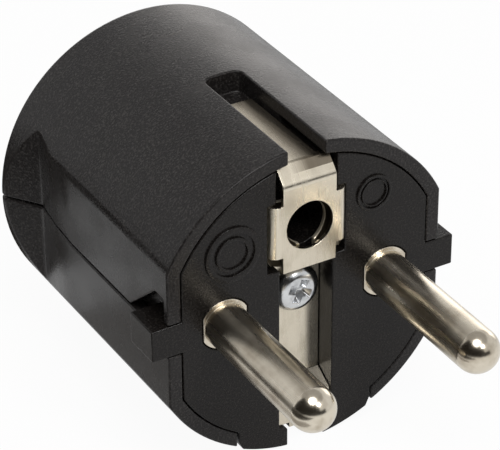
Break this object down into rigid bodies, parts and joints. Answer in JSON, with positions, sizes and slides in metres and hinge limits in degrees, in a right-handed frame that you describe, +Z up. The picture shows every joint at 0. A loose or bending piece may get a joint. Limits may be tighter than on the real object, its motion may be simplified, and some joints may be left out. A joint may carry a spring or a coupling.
{
  "type": "type f plug",
  "caption": "Round black rewirable earthed mains plug with straight round pins, side guide ribs, flat grips and folded earth contacts in slots along its top and bottom.",
  "frame": {"origin": "middle of the engagement face, between the pins", "axes": "+X across the pins, +Y from the face into the body, +Z up towards the female earth contact"},
  "size_m": [0.0358, 0.0538, 0.0359],
  "materials": {
    "shell_plastic": "fine matte grain, charcoal black",
    "carrier_plastic": "smooth semi-matte black",
    "clamp_plastic": "matte black",
    "pin_nickel": "nickel plated, polished",
    "contact_nickel": "nickel plated sheet, satin",
    "terminal_brass": "bare, machined",
    "screw_zinc": "bright zinc plated"
  },
  "bodies": {
    "root": {"upper_shell": "shell_plastic", "lower_shell": "shell_plastic", "pin_carrier": "carrier_plastic", "left_pin": "pin_nickel", "right_pin": "pin_nickel", "upper_earth_contact": "contact_nickel", "lower_earth_contact": "contact_nickel", "centre_screw": "screw_zinc", "earth_terminal_block": "terminal_brass", "left_terminal_screw": "screw_zinc", "right_terminal_screw": "screw_zinc", "earth_terminal_screw": "screw_zinc", "cord_clamp": "clamp_plastic", "left_clamp_screw": "screw_zinc", "right_clamp_screw": "screw_zinc"}
  },
  "joints": []
}
